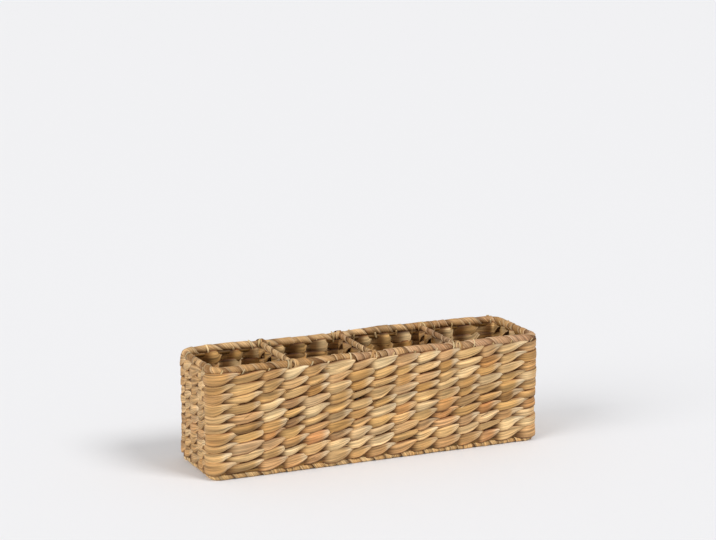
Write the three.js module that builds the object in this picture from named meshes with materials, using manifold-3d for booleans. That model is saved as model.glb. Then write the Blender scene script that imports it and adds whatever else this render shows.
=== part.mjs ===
// Pen holder: a long open basket of flattened water-hyacinth leaf, twined on a frame of iron wire,
// with three woven dividers that make four compartments.
// Millimetres, +Z up, +X along the length, -Y the front. The origin is the middle of the footprint.
//
// The wire frame is a foot loop, a rim loop, four corner posts, stakes bent to a U that run down one wall,
// under the floor and up the other, and a bar with three legs for each divider. Leaf strip is wrapped
// round the two loops and the bars. Two strands of leaf are twined round the stakes in ten rows: here each
// row is an outer and an inner band either side of the stakes.
import * as THREE from 'three';
import * as BufferGeometryUtils from 'three/addons/utils/BufferGeometryUtils.js';
import Module from 'manifold-3d';

// Overall size
const length = 350;
const width = 92;
const height = 110;
const cornerRadius = 14;

// Running fit between neighbours
const clearance = 0.3;

// Wire
const stakeDiameter = 3;
const postDiameter = 3;
const legDiameter = 2.6;
const footWireDiameter = 3;
const rimWireDiameter = 4;
const barWireDiameter = 3.4;

// Leaf
const leafThickness = 3.2;
const footWrapDiameter = 6;
const rimWrapDiameter = 8;
const barWrapDiameter = 6.8;
const dividerThickness = 7.4;
const floorUnderThickness = 2.4;

// Places
const frontStakes = 13;
const frontStakeInset = 23;
const endStakes = 3;
const endStakeSpacing = 20;
const stakeFloorHeight = 5;
const weftRows = 10;
const dividerPlaces = [-90, -6, 83];
const legSpacing = 22;

// Faceting
const cornerSteps = 4;
const wireSides = 8;
const stakeSides = 6;
const bendSteps = 3;

// Colours, as dry leaf and wire show them
const ironColour = 0x6e6a64;
const wrapColour = 0xb08a56;
const footColour = 0xc79f63;
const dividerColour = 0xa88552;
const floorColour = 0x97794d;
const rowColours = [0xcdb07a, 0xd2b57f, 0xc9a76d, 0xd6b67a, 0xc8a265];
const innerColour = 0xa5854f;

// Levels
const wallThickness = 2 * leafThickness + stakeDiameter + 2 * clearance;
const stakeGap = stakeDiameter / 2 + clearance;
const footLevel = footWrapDiameter / 2;
const rimLevel = height - rimWrapDiameter / 2;
const weaveBottom = footWrapDiameter + clearance;
const weaveTop = height - rimWrapDiameter - clearance;
const rowPitch = (weaveTop - weaveBottom) / weftRows;

// The line in the middle of the wall, which the wires follow
const middleHalfLength = length / 2 - wallThickness / 2;
const middleHalfWidth = width / 2 - wallThickness / 2;
const middleRadius = cornerRadius - wallThickness / 2;
const innerHalfLength = length / 2 - wallThickness;
const innerHalfWidth = width / 2 - wallThickness;

const wasm = await Module();
wasm.setup();

const acrossCorners = (acrossFlats, sides) => acrossFlats / Math.cos(Math.PI / sides);

// A stake bends in over the foot wrap and seats on it. This is the radius of that bend.
const seatDistance = acrossCorners(footWrapDiameter / 2, wireSides) + clearance + stakeDiameter / 2;
const stakeRise = stakeFloorHeight - footLevel;
const seatSlack = seatDistance - stakeRise;
const frontBend = seatSlack + Math.sqrt(seatSlack ** 2 + seatDistance ** 2 - stakeRise ** 2);
const bendTop = stakeFloorHeight + frontBend;

// The stakes of the end walls cross over the others, and their bends end at the same height.
const crossingStep = stakeDiameter + clearance;
const endFloorHeight = stakeFloorHeight + crossingStep;
const endBend = frontBend - crossingStep;
const floorTop = bendTop - clearance;

/** One turn round the wall's middle line, moved outwards by offset, with the same points at any offset. */
function loopAt(offset) {
  const radius = Math.max(middleRadius + offset, clearance);
  const reachX = middleHalfLength + offset - radius;
  const reachY = middleHalfWidth + offset - radius;
  const points = [];
  const quadrants = [[1, 1], [-1, 1], [-1, -1], [1, -1]];
  for (const [corner, [signX, signY]] of quadrants.entries()) {
    for (let step = 0; step <= cornerSteps; step++) {
      const angle = (corner + step / cornerSteps) * Math.PI / 2;
      const x = signX * reachX + radius * Math.cos(angle);
      const y = signY * reachY + radius * Math.sin(angle);
      points.push(new THREE.Vector2(x, y));
    }
  }
  return points;
}

/** A closed surface through equal loops of points, joined in order. Closed in on itself, or capped. */
function skinLoops(loops, isRing) {
  const count = loops[0].length;
  const position = loops.flat().flatMap((point) => [point.x, point.y, point.z]);
  const index = [];
  const lastLoop = isRing ? loops.length : loops.length - 1;
  for (let row = 0; row < lastLoop; row++) {
    const next = (row + 1) % loops.length;
    for (let k = 0; k < count; k++) {
      const a = row * count + k;
      const b = row * count + (k + 1) % count;
      const c = next * count + (k + 1) % count;
      const d = next * count + k;
      index.push(a, b, c, a, c, d);
    }
  }
  if (!isRing) {
    const top = (loops.length - 1) * count;
    for (let k = 1; k < count - 1; k++) {
      index.push(0, k + 1, k);
      index.push(top, top + k, top + k + 1);
    }
  }
  const geometry = new THREE.BufferGeometry();
  geometry.setAttribute('position', new THREE.Float32BufferAttribute(position, 3));
  geometry.setIndex(index);
  return geometry;
}

const loopLevel = ([offset, z]) => loopAt(offset).map((point) => new THREE.Vector3(point.x, point.y, z));

/** A section of [offset, height] points, carried once round the basket. The points run anticlockwise. */
const ringOf = (section) => skinLoops(section.map(loopLevel), true);

/** A plate in the shape of the basket's plan, through [offset, height] levels from the bottom up. */
const plateOf = (levels) => skinLoops(levels.map(loopLevel), false);

/** An even polygon of [offset, height] points, flat below and above. */
function wireSection(level, diameter) {
  const radius = acrossCorners(diameter / 2, wireSides);
  const points = [];
  for (let k = 0; k < wireSides; k++) {
    const angle = (k + 0.5) / wireSides * 2 * Math.PI;
    points.push([radius * Math.cos(angle), level + radius * Math.sin(angle)]);
  }
  return points;
}

/** A straight wire of eight flat sides that stands on the origin. */
function straightWire(diameter, run) {
  const geometry = new THREE.CylinderGeometry(
    acrossCorners(diameter / 2, wireSides), acrossCorners(diameter / 2, wireSides), run, wireSides,
  );
  geometry.rotateY(Math.PI / wireSides);
  geometry.rotateX(Math.PI / 2);
  geometry.translate(0, 0, run / 2);
  return geometry;
}

/** The middle line of a bent wire, with a step at each given station and none between. */
class WireLine extends THREE.Curve {
  constructor(stations) {
    super();
    this.stations = stations;
  }

  stationAt(t) {
    return this.stations[Math.round(t * (this.stations.length - 1))];
  }

  getPoint(t) {
    return this.stationAt(t).point.clone();
  }

  getPointAt(t) {
    return this.getPoint(t);
  }

  getTangentAt(t) {
    return this.stationAt(t).tangent.clone();
  }
}

/** A wire bent to a U in the YZ plane: down, a bend, across the floor, a bend, and up. */
function bentStake(halfSpan, floorHeight, bend, diameter) {
  const down = new THREE.Vector3(0, 0, -1);
  const up = new THREE.Vector3(0, 0, 1);
  const stations = [{ point: new THREE.Vector3(0, -halfSpan, weaveTop), tangent: down }];
  for (const side of [-1, 1]) {
    for (let step = 0; step <= bendSteps; step++) {
      const turn = (side < 0 ? step : bendSteps - step) / bendSteps * Math.PI / 2;
      const y = side * (halfSpan - bend + bend * Math.cos(turn));
      const z = floorHeight + bend - bend * Math.sin(turn);
      const point = new THREE.Vector3(0, y, z);
      const tangent = new THREE.Vector3(0, Math.sin(turn), side * Math.cos(turn));
      stations.push({ point, tangent });
    }
  }
  stations.push({ point: new THREE.Vector3(0, halfSpan, weaveTop), tangent: up });
  const section = new THREE.Shape();
  for (let k = 0; k < stakeSides; k++) {
    const angle = k / stakeSides * 2 * Math.PI;
    const x = diameter / 2 * Math.cos(angle);
    const y = diameter / 2 * Math.sin(angle);
    if (k === 0) {
      section.moveTo(x, y);
    } else {
      section.lineTo(x, y);
    }
  }
  return new THREE.ExtrudeGeometry(section, {
    steps: stations.length - 1, bevelEnabled: false, extrudePath: new WireLine(stations),
  });
}

/** The closed solid of a geometry, moved to a place. */
function solidOf(geometry, place = new THREE.Matrix4()) {
  const bare = geometry.clone().applyMatrix4(place);
  bare.deleteAttribute('normal');
  bare.deleteAttribute('uv');
  const merged = BufferGeometryUtils.mergeVertices(bare, 1e-4);
  return new wasm.Manifold(new wasm.Mesh({
    numProp: 3,
    vertProperties: new Float32Array(merged.attributes.position.array),
    triVerts: new Uint32Array(merged.index.array),
  }));
}

function geometryOf(solid) {
  const mesh = solid.getMesh();
  const geometry = new THREE.BufferGeometry();
  geometry.setAttribute('position', new THREE.BufferAttribute(new Float32Array(mesh.vertProperties), 3));
  geometry.setIndex(new THREE.BufferAttribute(new Uint32Array(mesh.triVerts), 1));
  return geometry;
}

const joined = (solids) => geometryOf(solids.reduce((whole, solid) => whole.add(solid)));
const cutBy = (solid, cutters) => geometryOf(
  cutters.reduce((left, cutter) => left.subtract(cutter), solid),
);
const moved = (x, y, z) => new THREE.Matrix4().makeTranslation(x, y, z);
const alongY = (x, y, z) => moved(x, y, z).multiply(new THREE.Matrix4().makeRotationX(-Math.PI / 2));

const holder = new THREE.Group();

function addPiece(parent, name, geometry, colour, roughness, metalness = 0) {
  geometry.computeVertexNormals();
  const material = new THREE.MeshStandardMaterial({ color: colour, roughness, metalness });
  const piece = new THREE.Mesh(geometry, material);
  piece.name = name;
  parent.add(piece);
  return piece;
}

const addWire = (parent, name, geometry) => addPiece(parent, name, geometry, ironColour, 0.5, 0.9);
const addLeaf = (parent, name, geometry, colour) => addPiece(parent, name, geometry, colour, 0.75);
const group = () => {
  const part = new THREE.Group();
  holder.add(part);
  return part;
};

// Corner posts stand at the middle of each corner, between the foot loop and the rim loop.
const corners = ['back_right', 'back_left', 'front_left', 'front_right'];
const cornerMiddles = corners.map((_, corner) => (
  loopAt(0)[corner * (cornerSteps + 1) + Math.floor(cornerSteps / 2)]
));
const postBottom = footLevel + footWireDiameter / 2 + clearance;
const postTop = rimLevel - rimWireDiameter / 2 - clearance;
const postHoles = (bottom, top) => cornerMiddles.map((place) => (
  solidOf(straightWire(postDiameter + 2 * clearance, top - bottom), moved(place.x, place.y, bottom))
));

// A divider's bar runs from the front of the rim loop to the back of it.
const barHalfRun = middleHalfWidth - rimWireDiameter / 2 - clearance;
const barHoles = dividerPlaces.map((place) => solidOf(
  straightWire(barWireDiameter + 2 * clearance, 2 * middleHalfWidth),
  alongY(place, -middleHalfWidth, rimLevel),
));

function addFoot() {
  const foot = group();
  addWire(foot, 'foot_wire', ringOf(wireSection(footLevel, footWireDiameter)));
  const sleeve = solidOf(ringOf(wireSection(footLevel, footWrapDiameter)));
  const bore = solidOf(ringOf(wireSection(footLevel, footWireDiameter + 2 * clearance)));
  addLeaf(foot, 'foot_wrap', cutBy(sleeve, [bore, ...postHoles(footLevel, height)]), footColour);
}

function addRim() {
  const rim = group();
  addWire(rim, 'rim_wire', ringOf(wireSection(rimLevel, rimWireDiameter)));
  const sleeve = solidOf(ringOf(wireSection(rimLevel, rimWrapDiameter)));
  const bore = solidOf(ringOf(wireSection(rimLevel, rimWireDiameter + 2 * clearance)));
  addLeaf(rim, 'rim_wrap', cutBy(sleeve, [bore, ...postHoles(0, rimLevel), ...barHoles]), wrapColour);
}

function addPosts() {
  const posts = group();
  cornerMiddles.forEach((place, corner) => {
    const name = `corner_post_${corners[corner]}`;
    const post = addWire(posts, name, straightWire(postDiameter, postTop - postBottom));
    post.position.set(place.x, place.y, postBottom);
  });
}

// The stakes of the long walls, one U each
const straightRun = length - 2 * cornerRadius - 2 * frontStakeInset;
const frontStakeSpacing = straightRun / (frontStakes - 1);
const endStakePlaces = Array.from(
  { length: endStakes }, (_, k) => (k - (endStakes - 1) / 2) * endStakeSpacing,
);
const endStakeShape = (diameter) => bentStake(middleHalfLength, endFloorHeight, endBend, diameter);

function addStakes() {
  const stakes = group();
  for (let k = 0; k < frontStakes; k++) {
    const name = `cross_stake_${String(k + 1).padStart(2, '0')}`;
    const shape = bentStake(middleHalfWidth, stakeFloorHeight, frontBend, stakeDiameter);
    const stake = addWire(stakes, name, shape);
    stake.position.x = (k - (frontStakes - 1) / 2) * frontStakeSpacing;
  }
  endStakePlaces.forEach((place, k) => {
    const stake = addWire(stakes, `long_stake_${k + 1}`, endStakeShape(stakeDiameter));
    stake.rotation.z = -Math.PI / 2;
    stake.position.y = place;
  });
}

// One twined row: a band of leaf either side of the stakes, each swelling towards its free face
function bandSection(bottom, top, side) {
  const tall = top - bottom;
  const shape = [[0, 0], [0.6, 0], [0.9, 0.2], [1, 0.5], [0.9, 0.8], [0.6, 1], [0, 1]];
  const points = shape.map(([out, up]) => [side * (stakeGap + out * leafThickness), bottom + up * tall]);
  return side > 0 ? points : points.reverse();
}

function addWeft() {
  const weft = group();
  for (let row = 0; row < weftRows; row++) {
    const name = `weft_row_${String(row + 1).padStart(2, '0')}`;
    const top = weaveTop - row * rowPitch;
    const bottom = top - rowPitch + clearance;
    const innerBottom = Math.max(bottom, bendTop + clearance);
    const colour = rowColours[row % rowColours.length];
    addLeaf(weft, `${name}_outer`, ringOf(bandSection(bottom, top, 1)), colour);
    addLeaf(weft, `${name}_inner`, ringOf(bandSection(innerBottom, top, -1)), innerColour);
  }
}

// The floor is woven under and over the stakes. Its upper layer fills the inside of their bends.
function addFloor() {
  const floor = group();
  const underTop = stakeFloorHeight - stakeGap;
  const underInset = -footWrapDiameter / 2 - clearance;
  const underLevels = [[underInset, underTop - floorUnderThickness], [underInset, underTop]];
  addLeaf(floor, 'floor_weave_under', plateOf(underLevels), floorColour);
  const bendInside = frontBend - stakeGap;
  const levels = [];
  for (let step = 0; step <= bendSteps; step++) {
    const rise = step / bendSteps * (bendInside - clearance);
    const drop = bendInside - rise;
    levels.push([Math.sqrt(bendInside ** 2 - drop ** 2) - frontBend, bendTop - drop]);
  }
  const channelShape = endStakeShape(acrossCorners(stakeDiameter + 2 * clearance, stakeSides));
  channelShape.rotateZ(-Math.PI / 2);
  const channels = endStakePlaces.map((place) => solidOf(channelShape, moved(0, place, 0)));
  addLeaf(floor, 'floor_weave_top', cutBy(solidOf(plateOf(levels)), channels), floorColour);
}

// A divider: a wire bar with legs, leaf wrapped round the bar, and rows of leaf woven round the legs
const legPlaces = [-legSpacing, 0, legSpacing];
const legBottom = floorTop + clearance;
const dividerTop = rimLevel - barWrapDiameter / 2 - clearance;
const dividerHalfWidth = innerHalfWidth - clearance;
const legHoles = (bottom, top) => legPlaces.map((place) => (
  solidOf(straightWire(legDiameter + 2 * clearance, top - bottom), moved(0, place, bottom))
));

function dividerFrame() {
  const bar = solidOf(straightWire(barWireDiameter, 2 * barHalfRun), alongY(0, -barHalfRun, rimLevel));
  const legs = legPlaces.map((place) => (
    solidOf(straightWire(legDiameter, rimLevel - legBottom), moved(0, place, legBottom))
  ));
  return joined([bar, ...legs]);
}

function dividerWrap() {
  const halfRun = middleHalfWidth - rimWrapDiameter / 2 - clearance;
  const sleeve = solidOf(straightWire(barWrapDiameter, 2 * halfRun), alongY(0, -halfRun, rimLevel));
  const bore = solidOf(
    straightWire(barWireDiameter + 2 * clearance, 2 * middleHalfWidth),
    alongY(0, -middleHalfWidth, rimLevel),
  );
  return cutBy(sleeve, [bore, ...legHoles(legBottom, rimLevel)]);
}

function dividerWeave() {
  const tall = dividerTop - legBottom;
  const rows = Math.round(tall / rowPitch);
  const swell = [[0, 0.74], [0.25, 0.95], [0.75, 0.95]];
  const side = [];
  for (let row = 0; row < rows; row++) {
    for (const [up, out] of swell) {
      side.push([out * dividerThickness / 2, (row + up) / rows * tall]);
    }
  }
  side.push([swell[0][1] * dividerThickness / 2, tall]);
  const outline = new THREE.Shape([
    ...side.map(([x, z]) => new THREE.Vector2(x, z)),
    ...side.toReversed().map(([x, z]) => new THREE.Vector2(-x, z)),
  ]);
  const panel = new THREE.ExtrudeGeometry(outline, { depth: 2 * dividerHalfWidth, bevelEnabled: false });
  panel.rotateX(Math.PI / 2);
  panel.translate(0, dividerHalfWidth, legBottom);
  return cutBy(solidOf(panel), legHoles(0, height));
}

function addDividers() {
  dividerPlaces.forEach((place, k) => {
    const divider = group();
    divider.position.x = place;
    addWire(divider, `divider_frame_${k + 1}`, dividerFrame());
    addLeaf(divider, `divider_wrap_${k + 1}`, dividerWrap(), wrapColour);
    addLeaf(divider, `divider_weave_${k + 1}`, dividerWeave(), dividerColour);
  });
}

addFoot();
addRim();
addPosts();
addStakes();
addWeft();
addFloor();
addDividers();

export default holder;
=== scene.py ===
import math

import bpy
import numpy as np
from mathutils import Matrix, Vector


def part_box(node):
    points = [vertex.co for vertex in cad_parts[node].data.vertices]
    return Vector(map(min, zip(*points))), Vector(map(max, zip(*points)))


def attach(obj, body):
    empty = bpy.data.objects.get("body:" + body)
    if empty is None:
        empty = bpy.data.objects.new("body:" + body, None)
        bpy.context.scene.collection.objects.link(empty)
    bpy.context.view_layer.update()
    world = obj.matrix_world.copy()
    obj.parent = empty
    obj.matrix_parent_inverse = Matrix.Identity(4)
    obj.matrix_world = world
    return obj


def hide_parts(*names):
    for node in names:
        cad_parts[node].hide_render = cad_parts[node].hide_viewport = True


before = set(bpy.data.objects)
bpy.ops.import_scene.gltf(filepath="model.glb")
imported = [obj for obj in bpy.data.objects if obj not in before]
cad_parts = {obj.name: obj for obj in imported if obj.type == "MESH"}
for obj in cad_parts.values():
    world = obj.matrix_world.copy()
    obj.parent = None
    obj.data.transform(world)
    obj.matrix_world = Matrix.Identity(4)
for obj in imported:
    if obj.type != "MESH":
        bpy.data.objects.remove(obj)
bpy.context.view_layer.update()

MM = 0.001
UP = np.array([0.0, 0.0, 1.0])


# Sizes and places, read from the frame

def box(node):
    """Lowest and highest corner of a node as arrays."""
    low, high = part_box(node)
    return np.array(low, float), np.array(high, float)


def middle(node):
    low, high = box(node)
    return (low + high) / 2


rim_low, rim_high = box("rim_wrap")
foot_low, foot_high = box("foot_wrap")
RIM_RADIUS = (rim_high[2] - rim_low[2]) / 2
FOOT_RADIUS = (foot_high[2] - foot_low[2]) / 2
RIM_LEVEL = (rim_high[2] + rim_low[2]) / 2
FOOT_LEVEL = (foot_high[2] + foot_low[2]) / 2
HALF_LENGTH = rim_high[0] - RIM_RADIUS
HALF_WIDTH = rim_high[1] - RIM_RADIUS
WALL_HALF = box("weft_row_01_outer")[1][1] - HALF_WIDTH
corner_post = middle("corner_post_front_right")
CORNER = (HALF_LENGTH - corner_post[0]) / (1 - math.cos(math.pi / 4))
ROWS = sorted(name.removesuffix("_outer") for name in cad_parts
              if name.startswith("weft_row") and name.endswith("_outer"))
ROW_LEVELS = [middle(f"{row}_outer")[2] for row in ROWS]
ROW_PITCH = ROW_LEVELS[0] - ROW_LEVELS[1]
CROSS_STAKES = sorted(middle(name)[0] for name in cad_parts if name.startswith("cross_stake"))
LONG_STAKES = sorted(middle(name)[1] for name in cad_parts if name.startswith("long_stake"))
DIVIDERS = [middle(f"divider_wrap_{k}")[0] for k in (1, 2, 3)]


# Lines that leaf follows: functions from distances along them to points and outward directions

STRAIGHT_LONG = 2 * (HALF_LENGTH - CORNER)
STRAIGHT_SHORT = 2 * (HALF_WIDTH - CORNER)
BEND = CORNER * math.pi / 2
WALL_PIECES = [STRAIGHT_LONG, BEND, STRAIGHT_SHORT, BEND, STRAIGHT_LONG, BEND, STRAIGHT_SHORT, BEND]
WALL_STARTS = np.concatenate([[0.0], np.cumsum(WALL_PIECES)])
WALL_TURN = WALL_STARTS[-1]


def wall_line(run):
    """The middle line of the wall, anticlockwise seen from above, from the left end of the front."""
    run = np.mod(run, WALL_TURN)
    piece = np.clip(np.searchsorted(WALL_STARTS, run, side="right") - 1, 0, 7)
    quarter = piece // 2
    past = run - WALL_STARTS[piece]
    bending = piece % 2 == 1
    angle = quarter * math.pi / 2 - math.pi / 2 + np.where(bending, past / CORNER, 0.0)
    out = np.stack([np.cos(angle), np.sin(angle), np.zeros_like(angle)], -1)
    sign_x = np.array([1, 1, -1, -1])[quarter]
    sign_y = np.array([-1, 1, 1, -1])[quarter]
    centre_x = sign_x * (HALF_LENGTH - CORNER)
    centre_y = sign_y * (HALF_WIDTH - CORNER)
    point = np.stack([centre_x, centre_y, np.zeros_like(angle)], -1) + CORNER * out
    along = np.stack([-out[:, 1], out[:, 0], np.zeros_like(angle)], -1)
    length = np.array(WALL_PIECES)[piece]
    back = np.where(bending, 0.0, length - past)
    return point - along * back[:, None], out


def straight_line(start, end, out):
    """A line from start to end whose outward direction is out, and its length."""
    start, end, out = (np.array(v, float) for v in (start, end, out))
    ahead = (end - start) / np.linalg.norm(end - start)

    def line(run):
        return start + run[:, None] * ahead, np.broadcast_to(out, (len(run), 3))

    return line, float(np.linalg.norm(end - start))


# The share of a gap between two stakes after which the strands cross. Beside a corner post it follows
# the photographed strokes, which are long there.
MIDWAY = 0.5
ONTO_END_WALL = [0.35, 0.7]
OFF_END_WALL = [0.3, 0.32]


def wall_stakes():
    """Distances along the wall to its stakes and corner posts, and the share for each gap after them."""
    front = [x + STRAIGHT_LONG / 2 for x in CROSS_STAKES]
    side = [y + STRAIGHT_SHORT / 2 for y in LONG_STAKES]
    half = [*front, STRAIGHT_LONG + BEND / 2]
    half += [STRAIGHT_LONG + BEND + y for y in side]
    half += [STRAIGHT_LONG + BEND * 1.5 + STRAIGHT_SHORT]
    shares = [MIDWAY] * (len(front) - 1) + ONTO_END_WALL
    shares += [MIDWAY] * (len(side) - 1) + OFF_END_WALL
    return np.array(half + [s + WALL_TURN / 2 for s in half]), np.array(shares * 2)


# Leaf colours with their shares, as the dry leaf is: straw, tan and khaki, with odd brown, orange and
# pinkish pieces, and the colours of painted shade and painted highlight

def linear(hex_colour):
    """Linear light of an sRGB hex colour."""
    channels = [int(hex_colour[k:k + 2], 16) / 255 for k in (1, 3, 5)]
    return np.array([c / 12.92 if c <= 0.04045 else ((c + 0.055) / 1.055) ** 2.4 for c in channels])


WALL_LEAF = [
    ("#E5B97C", 5), ("#D9AB6A", 6), ("#CD9D60", 5), ("#F8D6A0", 5), ("#C89655", 3),
    ("#C4824A", 0.35), ("#C59F69", 4.5), ("#BE9266", 1.6), ("#D6A571", 1.5), ("#A1743F", 2),
]
RIM_LEAF = [("#CCA069", 4), ("#B98B55", 3.5), ("#DBB27D", 3), ("#9A6E3E", 2.5), ("#C4976F", 1.5)]
FOOT_LEAF = [("#EBC285", 4), ("#E0B274", 4), ("#D4A466", 2), ("#F0CC94", 2)]
INSIDE_LEAF = [("#BD9056", 4), ("#AD8148", 4), ("#C99E64", 3), ("#9D7341", 2), ("#A9845D", 2)]
# Dark leaf for the strips that close the wall against the rim and the foot: painted shade in the gaps there
FILLER_SHADE_LEAF = [("#85602C", 1), ("#765324", 1), ("#916833", 1)]
CORD = [("#E8CD9C", 2), ("#DBBB85", 1), ("#C7A26E", 1)]
# Pale leaf; at the tips of the strokes it is partly a painted highlight
PALE_LEAF_AND_HIGHLIGHT = linear("#F6E0BA")
# Painted shade: the dark brown towards which leaf is drawn where it lies in shade, at the start of a stroke
# under the previous one's tip and under the next turn of a winding
SHADED_START = linear("#6E4419")
# Painted shade along a strand's edges, in the crevices where the rows meet
EDGE_SHADE_COLOUR = linear("#83511A")
LIGHTNESS = (0.83, 1.13)  # of the darkest and the lightest leaf of one colour
LEAF_STROKES = 14  # strokes that one leaf of a strand makes
OWN_COLOUR = (0.15, 0.85)  # share of a stroke's colour that isn't its leaf's
LEAF_LENGTH = 45 * MM  # a long strip or cord changes colour about this often


def draw_colours(palette, count, rng):
    """Random leaf colours, weighted as the palette says, each a little lighter or darker."""
    weights = np.array([weight for _, weight in palette], float)
    picks = rng.choice(len(palette), count, p=weights / weights.sum())
    colours = np.array([linear(colour) for colour, _ in palette])[picks]
    return colours * rng.uniform(*LIGHTNESS, (count, 1))


def leaf_colours(palette, count, rng):
    """A colour for each stroke of a strand. Leaves are long, so neighbours are more alike than not."""
    leaves = draw_colours(palette, count // LEAF_STROKES + 2, rng)
    base = leaves[np.arange(count) // LEAF_STROKES]
    own = draw_colours(palette, count, rng)
    return blend(base, own, rng.uniform(*OWN_COLOUR, (count, 1)))


def blend(first, second, share):
    """first where share is 0, second where it is 1."""
    return first * (1 - share) + second * share


def smooth(value, low, high):
    """0 below low, 1 above high and an even curve between."""
    t = np.clip((value - low) / (high - low), 0, 1)
    return t * t * (3 - 2 * t)


def eased(values, index):
    """Values at whole numbers, read at index with an even curve between them. It goes round."""
    low = np.floor(index).astype(int)
    t = smooth(index - low, 0, 1)
    if values.ndim > 1:
        t = t[:, None]
    return blend(values[low % len(values)], values[(low + 1) % len(values)], t)


# Meshes

class Skin:
    """Gathers swept strands into one mesh, with each point's place in the leaf and its colour."""

    def __init__(self):
        self.points, self.faces, self.leaf, self.tint = [], [], [], []
        self.count = 0

    def add(self, points, leaf, tint, closed):
        """points is stations by section points by 3. The section closes; the run closes if closed."""
        stations, around = points.shape[:2]
        grid = np.arange(stations * around).reshape(stations, around) + self.count
        after = np.roll(grid, -1, axis=0) if closed else grid[1:]
        before = grid if closed else grid[:-1]
        quads = np.stack([before, np.roll(before, -1, 1), np.roll(after, -1, 1), after], -1)
        self.faces += quads.reshape(-1, 4).tolist()
        if not closed:
            self.faces += [grid[0][::-1].tolist(), grid[-1].tolist()]
        self.points.append(points.reshape(-1, 3))
        self.leaf.append(leaf.reshape(-1, 3))
        self.tint.append(np.broadcast_to(tint, (stations, around, 3)).reshape(-1, 3))
        self.count += stations * around

    def build(self, name, material):
        mesh = bpy.data.meshes.new(name)
        mesh.from_pydata(np.concatenate(self.points).tolist(), [], self.faces)
        mesh.polygons.foreach_set("use_smooth", [True] * len(mesh.polygons))
        leaf = mesh.attributes.new("leaf", "FLOAT_VECTOR", "POINT")
        leaf.data.foreach_set("vector", np.concatenate(self.leaf).ravel())
        tint = mesh.attributes.new("tint", "FLOAT_COLOR", "POINT")
        colours = np.concatenate(self.tint)
        tint.data.foreach_set("color", np.c_[colours, np.ones(len(colours))].ravel())
        mesh.materials.append(material)
        mesh.update()
        piece = bpy.data.objects.new(name, mesh)
        bpy.context.scene.collection.objects.link(piece)
        return piece


def leaf_places(along, across, rng):
    """Millimetres along and across the leaf at each point, and a number of the leaf's own."""
    leaf = np.empty((*np.broadcast_shapes(along.shape, across.shape), 3))
    leaf[..., 0] = along / MM
    leaf[..., 1] = across / MM
    leaf[..., 2] = rng.uniform(0, 100)
    return leaf


# Creases of a dried leaf: how many over its width and their share of the depth, then how far they
# wander over the width and the millimetres in which they do
CREASES = ((1.2, 0.4), (2.3, 0.35), (3.7, 0.25))
CREASE_DRIFT = (0.2, 0.6)
CREASE_WANDER = (25, 60)


def creases(across, along, rng):
    """Lengthwise folds of a dried leaf, from -1 to 1. across goes from 0 to 1 over the leaf."""
    total = np.zeros(np.broadcast_shapes(across.shape, along.shape))
    for cycles, share in CREASES:
        drift = rng.uniform(*CREASE_DRIFT)
        drift = drift * np.sin(along / (rng.uniform(*CREASE_WANDER) * MM) + rng.uniform(0, 6.28))
        total += share * np.sin(2 * math.pi * (across * cycles + drift + rng.uniform()))
    return total


# How one strand lies as it winds round the stakes: its turn in degrees (0 outside a stake, 180 inside
# the next), lower edge, upper edge, distance out from the middle of the wall and half thickness, in mm
# for a wall 10 mm thick with rows 9.54 mm apart. It leaves a stake as a narrow tip, high and in front
# of the strand that comes up from behind, and folds in over that one's upper edge. It folds on a slant,
# so that a stroke is pointed at both ends. The values were set against the photographed strokes.
STROKE = np.array([
    (-180, -5.3, 5.5, -3.4, 1.5),
    (-155, -5.7, 5.5, -3.2, 1.5),
    (-140, -5.9, 5.4, -2.6, 1.7),
    (-125, -6.0, 5.3, -1.8, 1.9),
    (-110, -6.0, 5.2, -0.8, 1.9),
    (-95, -5.9, 5.0, 0.2, 1.8),
    (-80, -5.7, 4.6, 1.1, 1.7),
    (-60, -5.5, 4.2, 2.1, 1.6),
    (-45, -5.2, 4.2, 2.7, 1.55),
    (-30, -4.9, 4.5, 3.2, 1.55),
    (0, -4.5, 5.3, 3.4, 1.55),
    (30, -3.3, 6.0, 3.5, 1.5),
    (60, -1.6, 6.4, 3.6, 1.4),
    (90, 0.6, 6.6, 3.6, 1.2),
    (105, 1.6, 6.6, 3.5, 1.1),
    (120, 2.4, 6.4, 3.3, 1.0),
    (135, 1.8, 6.0, 2.2, 1.0),
    (145, -0.2, 5.6, 0.6, 1.5),
    (155, -2.6, 5.5, -1.4, 1.8),
    (165, -4.3, 5.5, -2.8, 1.6),
])
TURN, LOWER, UPPER, REACH, THICK = range(5)
STROKE_PITCH = 9.54 * MM
STROKE_WALL = 5 * MM  # half the thickness of the wall
STEPS = 14  # mesh stations from one stake to the next
AROUND = 16  # mesh points round a strand
FOLD_SLANT = 18  # degrees of turn by which the lower edge folds before the middle, and the upper after
FOLD_UNEVEN = 1 / 3  # how much more it slants at the tip of a stroke, and less at its start
BEHIND_SIZE = 1.14  # a narrow strand spreads to this width behind a stake, which keeps the wall closed
SPREAD_COMES = (-0.3, 0.3)  # as it goes behind: -1 is outside a stake, 1 inside
HIDDEN_TURN = 90  # a strand of the wall is joined this far before a stake, behind the other one's tip
WIDE_PROUD = 2  # millimetres that a stroke of twice the usual width would stand out further
CREASE_DEPTH = 0.15  # of a strand's half thickness

# How far the strokes of a strand differ. Each draws a value between the two limits.
STROKE_WIDTH = (0.95, 1.17)  # beside the usual one
STROKE_RISE = (-0.4, 0.4)  # mm
STROKE_PROUD = (-0.6, 0.4)  # mm out
STROKE_LEAN = (-0.1, 0.18)  # radians, the upper edge inward
STROKE_FOLD = (0.25, 0.75)  # where over its width the leaf is folded lengthwise
STROKE_CONTRAST = (-0.3, 0.3)  # how much lighter it is above that fold, and darker below
STROKE_PALENESS = (0.0, 0.8)  # of its tip, partly a painted highlight
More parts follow.
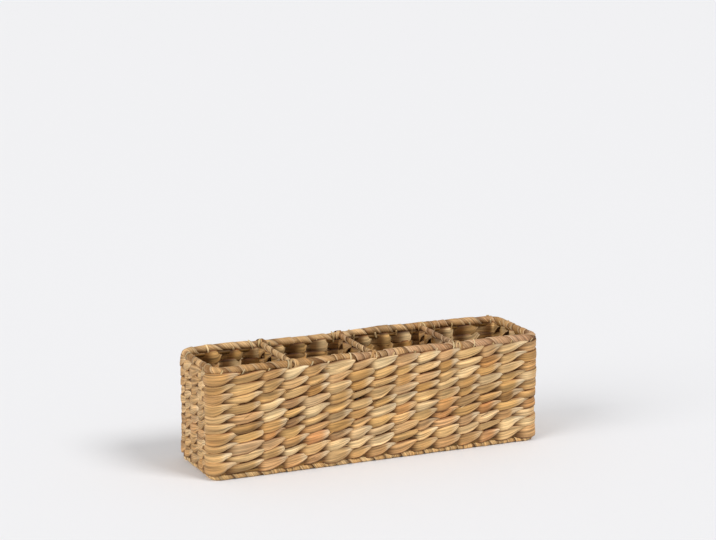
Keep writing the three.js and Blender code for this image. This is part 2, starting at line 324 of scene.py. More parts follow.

# End walls and dividers are twined tighter and flatter: distance out and half thickness in mm, the
# change of the first over a stroke, how much squarer the section is, how much less the strokes differ
# from each other, and how much darker and browner they are
PRESSED_REACH = 3.15
PRESSED_THICKNESS = 1.5
PRESSED_LEAN = 0.25
PRESSED_SQUARENESS = 0.7
PRESSED_PLAINNESS = 0.5
PRESSED_TONE = np.array([0.93, 0.89, 0.84])
PRESSED_TURN = (100, 150)  # degrees of turn between which a strand goes back to its usual form inside
PRESSED_FACING = 0.5  # a corner is wholly pressed from here on: 0 faces front or back, 1 an end

# Colour over a stroke: the degrees of turn in which its pale tip, partly a painted highlight, and the
# painted shade at its start come and go, how strong that shade is, how much sooner it ends where the wall
# is pressed flat, and the painted shade along the edges, in the crevices between rows
TIP_COMES, TIP_GOES = (40, 110), (130, 145)
START_COMES, START_GOES = (-170, -110), (-95, -35)
START_SHADE = 0.9
PRESSED_SOONER = 25
FOLD_SOFTNESS = 0.08  # of the leaf's width
EDGE_SHADE_FROM = 0.7  # where the painted edge shade begins, of the way from the middle of a strand to its edge
EDGE_SHADE_STRENGTH = 0.94


def stroke(angle, column):
    """A column of STROKE, read at any turn."""
    return np.interp(angle, STROKE[:, TURN], STROKE[:, column], period=360)


CROSSING_STRAY = 0.17  # of the gap between two stakes


def crossing_places(stakes, rng, shares=MIDWAY, turn=None):
    """Distances along a row to each stake and to each crossing between two, which strays a little."""
    stakes = np.append(stakes, stakes[0] + turn) if turn else np.array(stakes, float)
    gaps = np.diff(stakes)
    stray = rng.uniform(-CROSSING_STRAY, CROSSING_STRAY, len(gaps))
    crossings = stakes[:-1] + gaps * (shares + stray)
    return np.sort(np.concatenate([stakes, crossings]))


def stroke_tint(palette, angle, index, spans, across, pressed, rng):
    """Colours of a strand: each stroke's own, lighter on one side of a fold, pale at the tip, partly as a
    painted highlight, with painted shade at the start, under the previous stroke's tip, and along its
    edges, in the crevices between rows. across goes from 0 to 1 over the leaf."""
    plain = 1 - PRESSED_PLAINNESS * pressed
    tint = eased(leaf_colours(palette, spans, rng), index)
    tint = blend(tint.mean(axis=0), tint, plain[:, None])[:, None, :]
    fold = eased(rng.uniform(*STROKE_FOLD, spans), index)[:, None]
    contrast = (eased(rng.uniform(*STROKE_CONTRAST, spans), index) * plain)[:, None]
    side = 2 * smooth(across[None, :], fold - FOLD_SOFTNESS, fold + FOLD_SOFTNESS) - 1
    tint = tint * (1 + contrast * side)[..., None]

    # Pale tip of a stroke, partly a painted highlight where the light catches it
    tip = smooth(angle, *TIP_COMES) * (1 - smooth(angle, *TIP_GOES)) * plain
    tip *= eased(rng.uniform(*STROKE_PALENESS, spans), index)
    tint = blend(tint, PALE_LEAF_AND_HIGHLIGHT, tip[:, None, None])
    # Painted shade at the start of a stroke, where it comes out from under the previous one's tip
    start_goes = smooth(angle, START_GOES[0], START_GOES[1] - PRESSED_SOONER * pressed)
    start = smooth(angle, *START_COMES) * (1 - start_goes) * START_SHADE
    tint = blend(tint, SHADED_START, start[:, None, None])
    tint = tint * (1 - pressed[:, None, None] * (1 - PRESSED_TONE))
    # Painted shade along the edges of the strand, where it meets the next row
    rolled = EDGE_SHADE_STRENGTH * smooth(np.abs(2 * across - 1), EDGE_SHADE_FROM, 1) * plain[:, None]
    return blend(tint, tint * EDGE_SHADE_COLOUR, rolled[..., None])


def add_strand(skin, line, places, level_at, girth, pitch, half_depth, parity, palette, rng, lift=UP):
    """One strand of a twined row. It passes outside every second stake, those of its parity.

    places are those of crossing_places. lift points across the row, level_at gives the row's height and
    girth the strand's width there beside 1, and half_depth is half the thickness of the woven wall."""
    spans = len(places) // 2
    index = np.arange(spans * STEPS + 1) / STEPS
    closed = line is wall_line
    if closed:
        index = index - HIDDEN_TURN / 180 - parity
    lap = places[-1] - places[0]
    run = np.interp(np.mod(index, spans), np.arange(len(places)) / 2, places)
    run = run + lap * np.floor(index / spans)
    angle = np.mod(180 * (index + parity) + 180, 360) - 180
    sideways, outside = np.sin(np.radians(angle)), np.cos(np.radians(angle))
    around = np.linspace(-math.pi / 2, 1.5 * math.pi, AROUND, endpoint=False)
    low, high, thick = (stroke(angle, column) for column in (LOWER, UPPER, THICK))
    slant = FOLD_SLANT * (1 + FOLD_UNEVEN * sideways)
    reach = stroke(angle[:, None] - slant[:, None] * np.sin(around), REACH)

    point, out = line(run)
    pressed = smooth(np.abs(out[:, 0]), 0, PRESSED_FACING) * (1 - smooth(np.abs(angle), *PRESSED_TURN))
    reach = blend(reach, (PRESSED_REACH + PRESSED_LEAN * sideways)[:, None], pressed[:, None])
    thick = blend(thick, PRESSED_THICKNESS, pressed)

    size = girth(run) * eased(rng.uniform(*STROKE_WIDTH, spans), index)
    size += smooth(-outside, *SPREAD_COMES) * np.maximum(BEHIND_SIZE - size, 0)
    rise = eased(rng.uniform(*STROKE_RISE, spans), index) * MM
    proud = eased(rng.uniform(*STROKE_PROUD, spans), index) + WIDE_PROUD * (size - 1)
    lean = eased(rng.uniform(*STROKE_LEAN, spans), index)
    wide, deep = pitch / STROKE_PITCH, half_depth / STROKE_WALL
    middle_height = (low + high) / 2 * MM * wide + rise + level_at(run)
    half_height = (high - low) / 2 * MM * wide * size
    reach = (reach * deep + (proud * outside)[:, None]) * MM
    thick = thick * deep * MM

    across = (1 + np.sin(around)) / 2
    along = run + rng.uniform(0, 1)
    fold = creases(across[None, :], along[:, None], rng) * (CREASE_DEPTH * thick[:, None])
    section = np.abs(np.cos(around)) ** (1 - PRESSED_SQUARENESS * pressed[:, None])
    depth = (thick[:, None] + fold) * np.sign(np.cos(around)) * section
    tall = half_height[:, None] * np.sin(around)
    outward = reach + depth * np.cos(lean)[:, None] - tall * np.sin(lean)[:, None]
    upward = middle_height[:, None] + depth * np.sin(lean)[:, None] + tall * np.cos(lean)[:, None]
    points = point[:, None] + outward[..., None] * out[:, None] + upward[..., None] * lift

    leaf = leaf_places(along[:, None], across * pitch, rng)
    tint = stroke_tint(palette, angle, index, spans, across, pressed, rng)
    if closed:
        points, leaf, tint = points[:-1], leaf[:-1], tint[:-1]
    skin.add(points, leaf, tint, closed)


# Wound leaf strip: mesh stations in a turn and points over the strip, how much fatter or thinner than
# usual a turn is, and how far and how fast its slant sways, in radians
TURN_STATIONS = 18
STRIP_POINTS = 7
TURN_SWELL = (-0.13, 0.09)
TURN_SWAY, SWAY_PACE = 0.4, 2.3
LAP_SINK = 1.2  # strip thicknesses by which the covered edge lies deeper
STRIP_BULGE = 0.3  # strip thicknesses by which its middle stands up
STRIP_CREASE = 0.25  # of the strip's thickness
CREASE_PACE = 3  # its creases wander this much faster than the line runs, because it goes round
EDGE_WIDTH, EDGE_PALENESS = 0.14, 0.3  # of the free edge, in shares of the strip's width and colour
LAP_SHADE_COMES, LAP_SHADE = (0.54, 0.78), 0.88  # over its width, where the next turn covers it

# How the turns of a wound strip differ: turns in a stretch, each turn beside its stretch, and how much
# rarer loose stretches are than tight ones
STRETCH_TURNS = (2, 6)
TURN_ADVANCE = (0.8, 1.2)
LOOSE_RARITY = 1.5


def varied_steps(total, tight, loose, rng):
    """Advances of the turns of a wound strip, which goes tight and loose in stretches of a few turns."""
    steps = []
    while sum(steps) < total:
        mood = rng.uniform() ** LOOSE_RARITY
        for _ in range(rng.integers(*STRETCH_TURNS)):
            steps.append((tight + (loose - tight) * mood) * rng.uniform(*TURN_ADVANCE))
    return np.array(steps) * total / sum(steps)


def add_winding(skin, line, start, steps, level_at, radius, thickness, lap, palette, rng):
    """Leaf strip wound round a line. steps are the advances of its turns, and lap is its width beside
    them, so that each turn covers the edge of the last."""
    edges = np.concatenate([[0], np.cumsum(steps)]) + start
    turns = np.arange(len(steps) * TURN_STATIONS + 1) / TURN_STATIONS
    base = np.interp(turns, np.arange(len(edges)), edges)
    width = lap * np.interp(turns, np.arange(len(steps)) + 0.5, steps)
    swell = 1 + eased(rng.uniform(*TURN_SWELL, len(steps) + 1), turns)
    angle = -2 * math.pi * turns + TURN_SWAY * np.sin(turns * SWAY_PACE + rng.uniform(0, 6))

    upper = np.linspace(0, 1, STRIP_POINTS)
    across = np.concatenate([upper, upper[::-1]])
    under = np.repeat([0.0, 1.0], STRIP_POINTS)
    fold = creases(across[None, :], base[:, None] * CREASE_PACE, rng) * STRIP_CREASE
    layers = across * LAP_SINK + under - STRIP_BULGE * np.sin(math.pi * across)
    height = radius * swell[:, None] - thickness * (layers - fold)
    place = base[:, None] + (across - 0.5) * width[:, None]
    point, out = line(place.ravel())
    point, out = point.reshape(*place.shape, 3), out.reshape(*place.shape, 3)
    cos, sin = np.cos(angle)[:, None, None], np.sin(angle)[:, None, None]
    points = point + height[..., None] * (cos * out + sin * UP) + level_at(place)[..., None] * UP

    leaf = leaf_places((turns * 2 * math.pi * radius)[:, None], across * width[:, None], rng)
    tint = eased(leaf_colours(palette, len(steps) + 1, rng), turns)[:, None, :]
    edge = (1 - smooth(across, 0, EDGE_WIDTH))[None, :, None] * EDGE_PALENESS
    tint = blend(tint, PALE_LEAF_AND_HIGHLIGHT, edge)
    covered = smooth(across, *LAP_SHADE_COMES)[None, :, None] * LAP_SHADE
    skin.add(points, leaf, blend(tint, SHADED_START, covered), closed=False)


RIBBON_POINTS = 8  # round a narrow strip or cord


def add_ribbon(skin, points, facing, width, thickness, palette, rng, closed=False):
    """A narrow flat strip or cord along points. facing points away from what it lies on."""
    points, facing = np.array(points, float), np.array(facing, float)
    if closed:
        ahead = np.roll(points, -1, 0) - np.roll(points, 1, 0)
    else:
        ahead = np.gradient(points, axis=0)
    ahead /= np.linalg.norm(ahead, axis=1, keepdims=True)
    side = np.cross(ahead, facing)
    side /= np.linalg.norm(side, axis=1, keepdims=True)
    normal = np.cross(side, ahead)
    angle = np.linspace(0, 2 * math.pi, RIBBON_POINTS, endpoint=False)
    width = np.broadcast_to(np.asarray(width, float), (len(points),))[:, None]
    across = width / 2 * np.cos(angle)
    ring = across[..., None] * side[:, None]
    ring = ring + thickness / 2 * np.sin(angle)[None, :, None] * normal[:, None]
    run = np.concatenate([[0], np.cumsum(np.linalg.norm(np.diff(points, axis=0), axis=1))])
    leaf = leaf_places(run[:, None], across, rng)
    stretches = int(run[-1] / LEAF_LENGTH) + 1
    colours = draw_colours(palette, stretches, rng)
    tint = eased(colours, np.arange(len(points)) * stretches / len(points))[:, None]
    skin.add(points[:, None] + ring, leaf, tint, closed)


# Materials

def add(tree, kind, settings=None, **links):
    """A node with its settings, and its inputs set or linked by name or, as _0, by number.
    Other underscores stand for spaces."""
    node = tree.nodes.new(kind)
    for key, value in (settings or {}).items():
        setattr(node, key, value)
    for key, value in links.items():
        socket = node.inputs[int(key[1:])] if key[1:].isdigit() else node.inputs[key.replace("_", " ")]
        if isinstance(value, bpy.types.NodeSocket):
            tree.links.new(value, socket)
        else:
            socket.default_value = value
    return node


def new_material(name):
    material = bpy.data.materials.new(name)
    material.use_nodes = True
    tree = material.node_tree
    tree.nodes.clear()
    return material, tree


# Patterns of the leaf: length and width of one mark in mm, and the detail of its noise. Then how dark
# and light the fibres and streaks make it, and the strength and tinge of the rusty blotches.
FIBRE = (24, 0.45, 2.0)
STREAK = (38, 1.4, 3.0)
BLOTCH = (13, 6, 3.0)
FIBRE_TONES = (0.69, 1.2)
STREAK_TONES = (0.44, 1.29)
RUSTINESS = 0.36
RUSTY_TINGE = (0.96, 0.74, 0.54)
STREAK_RELIEF = 1.6  # beside that of the fibres


def dried_leaf(name, roughness, depth_mm):
    """Flattened, sun-dried water-hyacinth leaf: a satin skin with fine lengthwise fibres and soft,
    rusty blotches. depth_mm is the depth of its grain.

    Fibres are about 0.45 mm apart, half a pixel of the photograph, so streaks 1.4 mm apart carry most
    of what shows."""
    material, tree = new_material(name)
    tint = add(tree, "ShaderNodeAttribute", {"attribute_name": "tint"})
    leaf = add(tree, "ShaderNodeAttribute", {"attribute_name": "leaf"})
    patterns = []
    for length, width, detail in (FIBRE, STREAK, BLOTCH):
        place = add(tree, "ShaderNodeVectorMath", {"operation": "MULTIPLY"}, _0=leaf.outputs["Vector"],
                    _1=(1 / length, 1 / width, 1.0))
        noise = add(tree, "ShaderNodeTexNoise", Vector=place.outputs[0], Scale=1.0, Detail=detail)
        patterns.append(noise.outputs["Fac"])
    fibre, streak, blotch = patterns
    fibres = add(tree, "ShaderNodeMapRange", _0=fibre, _1=0.3, _2=0.7,
                 _3=FIBRE_TONES[0], _4=FIBRE_TONES[1])
    streaks = add(tree, "ShaderNodeMapRange", _0=streak, _1=0.3, _2=0.7,
                  _3=STREAK_TONES[0], _4=STREAK_TONES[1])
    shade = add(tree, "ShaderNodeMath", {"operation": "MULTIPLY"}, _0=fibres.outputs[0],
                _1=streaks.outputs[0])
    grained = add(tree, "ShaderNodeVectorMath", {"operation": "SCALE"}, _0=tint.outputs["Color"],
                  Scale=shade.outputs[0])
    rusty = add(tree, "ShaderNodeVectorMath", {"operation": "MULTIPLY"}, _0=grained.outputs[0],
                _1=RUSTY_TINGE)
    blotches = add(tree, "ShaderNodeMapRange", _0=blotch, _1=0.52, _2=0.75, _3=0.0, _4=RUSTINESS)
    mixed = add(tree, "ShaderNodeMix", {"data_type": "RGBA"}, _0=blotches.outputs[0],
                _6=grained.outputs[0], _7=rusty.outputs[0])
    height = add(tree, "ShaderNodeMath", {"operation": "MULTIPLY_ADD"}, _0=streak,
                 _1=STREAK_RELIEF, _2=fibre)
    bump = add(tree, "ShaderNodeBump", Height=height.outputs[0], Strength=0.8, Distance=depth_mm * MM)
    sheen = add(tree, "ShaderNodeMapRange", _0=streak, _1=0.25, _2=0.75, _3=roughness + 0.12,
                _4=roughness - 0.1)
    shader = add(tree, "ShaderNodeBsdfPrincipled", Base_Color=mixed.outputs[2], IOR=1.45,
                 Specular_IOR_Level=0.3, Roughness=sheen.outputs[0], Normal=bump.outputs[0])
    add(tree, "ShaderNodeOutputMaterial", Surface=shader.outputs[0])
    return material


IRON_COLOUR = "#5E5850"
RUST_COLOUR = "#6B4A30"


def bare_iron(name):
    """Drawn iron wire, left bare: dull grey-brown, with brown specks of about 1 mm where it has begun
    to rust."""
    material, tree = new_material(name)
    place = add(tree, "ShaderNodeTexCoord")
    specks = add(tree, "ShaderNodeTexNoise", Vector=place.outputs["Object"], Scale=900.0, Detail=4.0)
    amount = add(tree, "ShaderNodeMapRange", _0=specks.outputs["Fac"], _1=0.45, _2=0.7, _3=0.0, _4=0.8)
    colour = add(tree, "ShaderNodeMix", {"data_type": "RGBA"}, _0=amount.outputs[0],
                 _6=(*linear(IRON_COLOUR), 1), _7=(*linear(RUST_COLOUR), 1))
    rough = add(tree, "ShaderNodeMapRange", _0=specks.outputs["Fac"], _1=0.3, _2=0.7, _3=0.4, _4=0.75)
    bump = add(tree, "ShaderNodeBump", Height=specks.outputs["Fac"], Strength=0.3, Distance=0.05 * MM)
    shader = add(tree, "ShaderNodeBsdfPrincipled", Base_Color=colour.outputs[2], Metallic=0.8,
                 Roughness=rough.outputs[0], Normal=bump.outputs[0])
    add(tree, "ShaderNodeOutputMaterial", Surface=shader.outputs[0])
    return material


WEFT = dried_leaf("dried_hyacinth_leaf", 0.52, 0.16)
WRAP = dried_leaf("wound_leaf_strip", 0.5, 0.12)
LASHING = dried_leaf("split_cane_lashing", 0.55, 0.06)
IRON = bare_iron("bare_iron_wire")


# Walls, dividers and floor. The seeds of all random draws are fixed, so each run gives the same holder.

def finish_piece(piece, slot, *nodes):
    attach(piece, "root")
    if nodes:
        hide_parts(*nodes)


def wavy(amount, seed):
    """Small slow ups and downs of hand work, a function of the distance along the wall. They are made
    of 2 to 11 waves in its whole turn, the shorter ones lower."""
    rng = np.random.default_rng(seed)
    waves = [(n, rng.uniform(0, 2 * math.pi), rng.uniform(0.4, 1) / n ** 0.5) for n in range(2, 12)]
    scale = amount / sum(size for _, _, size in waves) * 2

    def level(run):
        turn = 2 * math.pi * np.asarray(run) / WALL_TURN
        return scale * sum(size * np.sin(n * turn + start) for n, start, size in waves)

    return level


# Ups and downs of the rows: those that all share, which fade towards the rim and the foot, and each
# row's own. Then a strand's width beside the usual one, and how it changes from one strand of a row to
# the other.
SHARED_WAVE = 0.9 * MM
OWN_WAVE = 0.4 * MM
STRAND_GIRTH = 1.06
UNEVEN_GIRTH = 0.25

# The top row is beaten up against the rim and the bottom row down against the foot, and both are wider
END_ROW_SHIFT = 0.42 * MM
END_ROW_GIRTH = 0.048


def weave_walls():
    """Ten rows of two strands. Where one strand of a row is wide the other is narrow."""
    stakes, shares = wall_stakes()
    shared = wavy(SHARED_WAVE, 99)
    last = len(ROWS) - 1
    for number, (row, height) in enumerate(zip(ROWS, ROW_LEVELS)):
        rng = np.random.default_rng(100 + number)
        own, uneven = wavy(OWN_WAVE, 200 + number), wavy(UNEVEN_GIRTH, 220 + number)
        places = crossing_places(stakes, rng, shares, WALL_TURN)
        inner = 1 - abs(number - last / 2) / (len(ROWS) / 2)
        end = {0: 1, last: -1}.get(number, 0)
        for parity, side in ((0, "outer"), (1, "inner")):
            skin = Skin()
            add_strand(skin, wall_line, places,
                       lambda run: inner * shared(run) + own(run) + height + END_ROW_SHIFT * end,
                       lambda run: STRAND_GIRTH + END_ROW_GIRTH * abs(end) + (1 - 2 * parity) * uneven(run),
                       ROW_PITCH, WALL_HALF, parity, WALL_LEAF, rng)
            finish_piece(skin.build(f"{row}_strand_{'ab'[parity]}", WEFT), "weft_leaf", f"{row}_{side}")


def weave_dividers():
    for number, place in enumerate(DIVIDERS):
        rng = np.random.default_rng(300 + number)
        node = f"divider_weave_{number + 1}"
        low, high = box(node)
        line, length = straight_line((place, low[1], 0), (place, high[1], 0), (1, 0, 0))
        places = crossing_places([0, *(y + length / 2 for y in LONG_STAKES), length], rng)
        rows = round((high[2] - low[2]) / ROW_PITCH)
        pitch = (high[2] - low[2]) / rows
        skin = Skin()
        for row in range(rows):
            height = low[2] + (row + 0.5) * pitch
            for parity in (0, 1):
                add_strand(skin, line, places, lambda run: height, lambda run: 1, pitch,
                           (high[0] - low[0]) / 2, parity, INSIDE_LEAF, rng)
        finish_piece(skin.build(f"divider_weft_{number + 1}", WEFT), "divider_leaf", node)


def weave_floor():
    """Rows from end to end, a little short of the wall all round."""
    margin = 2 * MM
    low, high = box("floor_weave_top")
    under = box("floor_weave_under")[0][2]
    level, half_depth = (high[2] + under) / 2, (high[2] - under) / 2
    left, right = low[0] + margin, high[0] - margin
    width = high[1] - low[1] - 2 * margin
    rows = round(width / ROW_PITCH)
    pitch = width / rows
    skins = Skin(), Skin()
    rng = np.random.default_rng(400)
    for row in range(rows):
        y = low[1] + margin + (row + 0.5) * pitch
        line, length = straight_line((left, y, level), (right, y, level), (0, 0, 1))
        places = crossing_places([0, *(x - left for x in CROSS_STAKES), length], rng)
        for parity in (0, 1):
            add_strand(skins[parity], line, places, lambda run: 0 * run, lambda run: 1, pitch, half_depth,
                       parity + row, INSIDE_LEAF, rng, lift=np.array([0.0, 1.0, 0.0]))
    finish_piece(skins[0].build("floor_weft_a", WEFT), "floor_leaf", "floor_weave_top")
    finish_piece(skins[1].build("floor_weft_b", WEFT), "floor_leaf", "floor_weave_under")


# Windings: the least and most advance of a turn, and the strip's thickness and its width beside that
# advance
RIM_TURNS, RIM_STRIP = (9 * MM, 24 * MM), 0.75 * MM
FOOT_TURNS, FOOT_STRIP = (6 * MM, 14 * MM), 0.8 * MM
BAR_TURNS, BAR_STRIP = (20 * MM, 42 * MM), 0.6 * MM
LOOP_LAP, BAR_LAP = 1.3, 1.25
RIM_WAVE = 1.3 * MM
BAR_CORE = 0.86  # the bar's winding beside half the height of its sleeve, so that its laps stay inside
SEAM = STRAIGHT_LONG + STRAIGHT_SHORT + 2 * BEND + 0.3 * STRAIGHT_LONG  # on the back

# The strip that closes the wall against a loop: how far it lies from the loop, its width and thickness,
# and how far and in what length it wanders
FILLER_GAP = 0.5 * MM
FILLER_WIDTH, FILLER_THICKNESS = 4.4 * MM, 4.5 * MM
FILLER_WANDER, FILLER_WANDER_LENGTH = 0.5 * MM, 31 * MM
FILLER_STATIONS = 200

# Ties at the ends of a bar, over the rim: which way and how far each slants beside TIE_SLANT, and its
# width in mm
TIES = ((1, 3.2), (-1, 2.6), (0.3, 1.6))
TIE_SLANT = 3.2 * MM
TIE_STRAY = 1  # mm along the rim
TIE_THICKNESS = 0.8 * MM
TIE_CLEARANCE = 0.35 * MM  # over the rim
TIE_STATIONS = 28


def pack_edges(skin, level, rng):
    """A strip of leaf laid flat round the wall, to close it against the rim or the foot, dark as painted
    shade in the gap.
    """
    run = np.arange(FILLER_STATIONS) * WALL_TURN / FILLER_STATIONS
    point, out = wall_line(run)
    wander = FILLER_WANDER * np.sin(run / FILLER_WANDER_LENGTH)
    points = point + level * UP + wander[:, None] * out
    add_ribbon(skin, points, out, FILLER_WIDTH, FILLER_THICKNESS, FILLER_SHADE_LEAF, rng, closed=True)


def wind_loops():
    rng = np.random.default_rng(500)
    rim_wave = wavy(RIM_WAVE, 501)
    rim = Skin()
    add_winding(rim, wall_line, SEAM, varied_steps(WALL_TURN, *RIM_TURNS, rng),
                lambda run: rim_wave(run) + RIM_LEVEL, RIM_RADIUS, RIM_STRIP, LOOP_LAP, RIM_LEAF, rng)
    pack_edges(rim, RIM_LEVEL - RIM_RADIUS - FILLER_GAP, rng)
    finish_piece(rim.build("rim_winding", WRAP), "rim_leaf", "rim_wrap")
    foot = Skin()
    add_winding(foot, wall_line, SEAM, varied_steps(WALL_TURN, *FOOT_TURNS, rng),
                lambda run: FOOT_LEVEL + 0 * run, FOOT_RADIUS, FOOT_STRIP, LOOP_LAP, FOOT_LEAF, rng)
    pack_edges(foot, FOOT_LEVEL + FOOT_RADIUS + FILLER_GAP, rng)
    finish_piece(foot.build("foot_winding", WRAP), "foot_leaf", "foot_wrap")


def tie_bar(bar, x, end, rng):
    """Three ties round the rim over one end of a bar. end is -1 at the front and 1 at the back."""
    for hand, width in TIES:
        angle = np.linspace(0, 2 * math.pi, TIE_STATIONS, endpoint=False)
        radial = np.stack([0 * angle, end * np.cos(angle), np.sin(angle)], -1)
        centre = np.array([x, end * HALF_WIDTH, RIM_LEVEL])
        slide = hand * TIE_SLANT * np.cos(angle) + rng.uniform(-TIE_STRAY, TIE_STRAY) * MM
        points = centre + (RIM_RADIUS + TIE_CLEARANCE) * radial + slide[:, None] * np.array([1, 0, 0])
        add_ribbon(bar, points, radial, width * MM, TIE_THICKNESS, RIM_LEAF + CORD, rng, closed=True)


def wind_bars():
    for number in (1, 2, 3):
        rng = np.random.default_rng(600 + number)
        node = f"divider_wrap_{number}"
        low, high = box(node)
        x, _, z = middle(node)
        line, length = straight_line((x, low[1], 0), (x, high[1], 0), (1, 0, 0))
        bar = Skin()
        add_winding(bar, line, 0, varied_steps(length, *BAR_TURNS, rng), lambda run: z + 0 * run,
                    (high[2] - low[2]) / 2 * BAR_CORE, BAR_STRIP, BAR_LAP, RIM_LEAF, rng)
        for end in (-1, 1):
            tie_bar(bar, x, end, rng)
        finish_piece(bar.build(f"divider_winding_{number}", WRAP), "rim_leaf", node)


# Stitches of the rim's lashing, on each side of it. A stitch comes out at one of some places round the
# rim's section, in degrees with 90 at the top, leaves the rim at STITCH_FOOT, and goes on down to the
# first row through two points, in mm out from the middle of the wall and down from that of the rim.
STITCHES = 38
STITCH_TOPS = [95, 20, 5, -5]
STITCH_FOOT = -42
STITCH_OUT, STITCH_DOWN = (2.6, 2.0), (4.6, 7)
STITCH_STRAY = 3  # mm along the rim
STITCH_SWAY = 8  # degrees round its section
STITCH_LEAN = (0.05, 0.5)
STITCH_FACES_UP = 0.2  # beside outward
STITCH_WIDTH = (1.1, 2.2)  # mm
STITCH_THICKNESS = 0.8 * MM
STITCH_CLEARANCE = 0.3 * MM  # over the rim
STITCH_STATIONS = 9


def lash_rim():
    """Short pale stitches that hold the rim on the first row, outside and inside."""
    rng = np.random.default_rng(700)
    skin = Skin()
    spots = np.arange(STITCHES) * WALL_TURN / STITCHES
    for side in (1, -1):
        for spot in spots + rng.uniform(-STITCH_STRAY, STITCH_STRAY, STITCHES) * MM:
            top = math.radians(rng.choice(STITCH_TOPS) + rng.uniform(-STITCH_SWAY, STITCH_SWAY))
            angle = np.linspace(top, math.radians(STITCH_FOOT), STITCH_STATIONS)
            reach = (RIM_RADIUS + STITCH_CLEARANCE) * np.cos(angle)
            level = RIM_LEVEL + (RIM_RADIUS + STITCH_CLEARANCE) * np.sin(angle)
            reach = np.append(reach, [out * MM for out in STITCH_OUT])
            level = np.append(level, [RIM_LEVEL - down * MM for down in STITCH_DOWN])
            run = spot + rng.uniform(*STITCH_LEAN) * (level - RIM_LEVEL)
            point, out = wall_line(run)
            points = point + side * reach[:, None] * out + level[:, None] * UP
            facing = side * out + STITCH_FACES_UP * UP
            width = rng.uniform(*STITCH_WIDTH) * MM
            add_ribbon(skin, points, facing, width, STITCH_THICKNESS, CORD, rng)
    finish_piece(skin.build("rim_lashing", LASHING), "rim_leaf")


# Splinters of leaf outside: how many, where each begins beside the middle of a row, its length and
# width, all in mm, its thickness, its distance out from the middle of the wall in mm, how much further
# out its end is, and its slope
FRAYS = 70
FRAY_RISE = (-2, 4)
FRAY_LENGTH = (4, 11)
FRAY_WIDTH = (0.5, 1.2)
FRAY_THICKNESS = 0.25 * MM
FRAY_OUT, FRAY_LIFT = 4.1, 1.1
FRAY_SLOPE = 0.35
FRAY_STRAY = (-0.2, 0.3)  # mm out
FRAY_TILT = (-0.2, 0.2)  # beside its slope
FRAY_CURL = (-1, 1)  # mm up at its end
FRAY_TAPER = 1.15  # its width at the start, where it loses 1 towards the end
FRAY_STATIONS = 6


def add_frays():
    """Small splinters that lift off the leaf edges outside, each narrower towards its end."""
    rng = np.random.default_rng(800)
    skin = Skin()
    along = np.linspace(0, 1, FRAY_STATIONS)
    for _ in range(FRAYS):
        spot = rng.uniform(0, WALL_TURN)
        level = rng.choice(ROW_LEVELS) + rng.uniform(*FRAY_RISE) * MM
        length = rng.uniform(*FRAY_LENGTH) * MM
        point, out = wall_line(spot + along * length)
        reach = (FRAY_OUT + FRAY_LIFT * along + rng.uniform(*FRAY_STRAY)) * MM
        rise = (FRAY_SLOPE + rng.uniform(*FRAY_TILT)) * length * along
        curl = rng.uniform(*FRAY_CURL) * MM * along ** 2
        points = point + reach[:, None] * out + (level + rise + curl)[:, None] * UP
        width = (FRAY_TAPER - along) * rng.uniform(*FRAY_WIDTH) * MM
        add_ribbon(skin, points, out, width, FRAY_THICKNESS, WALL_LEAF, rng)
    finish_piece(skin.build("leaf_frays", WEFT), "weft_leaf")


WIRES = ("foot_wire", "rim_wire", "corner_post", "cross_stake", "long_stake", "divider_frame")


def paint_wire():
    for name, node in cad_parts.items():
        if name.startswith(WIRES):
            for slot in node.material_slots:
                slot.material = IRON
            if not node.material_slots:
                node.data.materials.append(IRON)


# Camera, as the photograph was taken: fitted to the rims, the foot and the divider bars

IMAGE_WIDTH = 716
SENSOR = 36.0  # mm
FOCAL_PIXELS = 2228.9
AZIMUTH, ELEVATION, ROLL = math.radians(-24.366), math.radians(12.70), math.radians(0.334)
DISTANCE = 2.15665
AIM = Vector((-0.0043, 0.0, 0.18042))


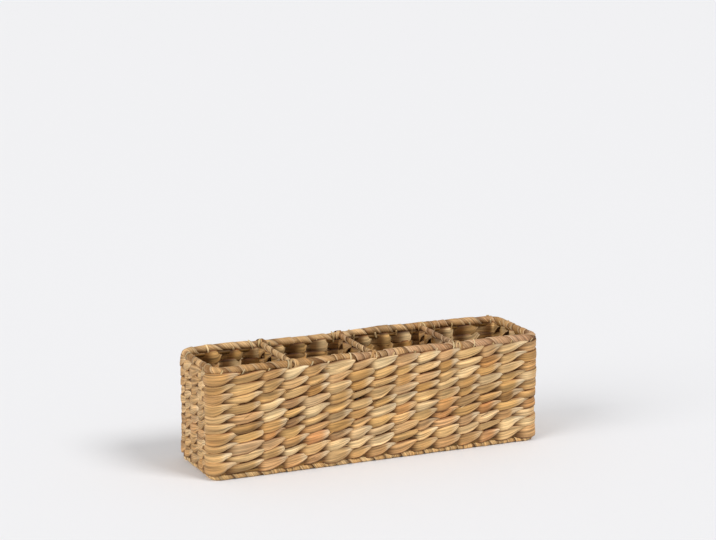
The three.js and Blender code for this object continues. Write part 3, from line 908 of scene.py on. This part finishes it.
def add_camera():
    back = Vector((
        math.sin(AZIMUTH) * math.cos(ELEVATION),
        -math.cos(AZIMUTH) * math.cos(ELEVATION),
        math.sin(ELEVATION),
    ))
    right = Vector((math.cos(AZIMUTH), math.sin(AZIMUTH), 0))
    up = back.cross(right)
    rolled = Matrix((
        math.cos(ROLL) * right + math.sin(ROLL) * up,
        math.cos(ROLL) * up - math.sin(ROLL) * right,
        back,
    )).transposed()
    camera = bpy.data.objects.new("camera", bpy.data.cameras.new("camera"))
    camera.matrix_world = Matrix.Translation(AIM + back * DISTANCE) @ rolled.to_4x4()
    camera.data.sensor_width = SENSOR
    camera.data.lens = FOCAL_PIXELS * SENSOR / IMAGE_WIDTH
    bpy.context.scene.collection.objects.link(camera)
    bpy.context.scene.camera = camera


# Floor and light. A sun has the direction towards it, its strength, and the spread in degrees that
# softens its shadows.

FLOOR_COLOUR = "#EBEBED"
FLOOR_REACH = 30.0
SKY_STRENGTH = 0.5
KEY_SUN = ((0.45, -0.6, 0.8), 1.5, 25)
FILL_SUN = ((-0.9, -0.25, 0.5), 1.5, 40)


def add_sun(name, direction, strength, spread):
    light = bpy.data.lights.new(name, "SUN")
    light.energy = strength
    light.angle = math.radians(spread)
    lamp = bpy.data.objects.new(name, light)
    lamp.rotation_euler = Vector(direction).to_track_quat("Z", "Y").to_euler()
    bpy.context.scene.collection.objects.link(lamp)


def set_stage():
    """A pale cool floor and an even sky, a soft key light from the front right and a fill from the left."""
    material, tree = new_material("pale_paper_floor")
    shader = add(tree, "ShaderNodeBsdfPrincipled", Base_Color=(*linear(FLOOR_COLOUR), 1), Roughness=0.9)
    add(tree, "ShaderNodeOutputMaterial", Surface=shader.outputs[0])
    mesh = bpy.data.meshes.new("floor")
    corners = [(x * FLOOR_REACH, y * FLOOR_REACH, 0) for x, y in ((-1, -1), (1, -1), (1, 1), (-1, 1))]
    mesh.from_pydata(corners, [], [(0, 1, 2, 3)])
    mesh.materials.append(material)
    floor = bpy.data.objects.new("floor", mesh)
    bpy.context.scene.collection.objects.link(floor)
    world = bpy.data.worlds.new("studio")
    world.use_nodes = True
    world.node_tree.nodes["Background"].inputs["Color"].default_value = (1, 1, 1, 1)
    world.node_tree.nodes["Background"].inputs["Strength"].default_value = SKY_STRENGTH
    bpy.context.scene.world = world
    add_sun("key", *KEY_SUN)
    add_sun("fill", *FILL_SUN)
    bpy.context.scene.view_settings.view_transform = "Standard"


add_camera()
set_stage()
weave_walls()
weave_dividers()
weave_floor()
wind_loops()
wind_bars()
lash_rim()
add_frays()
paint_wire()
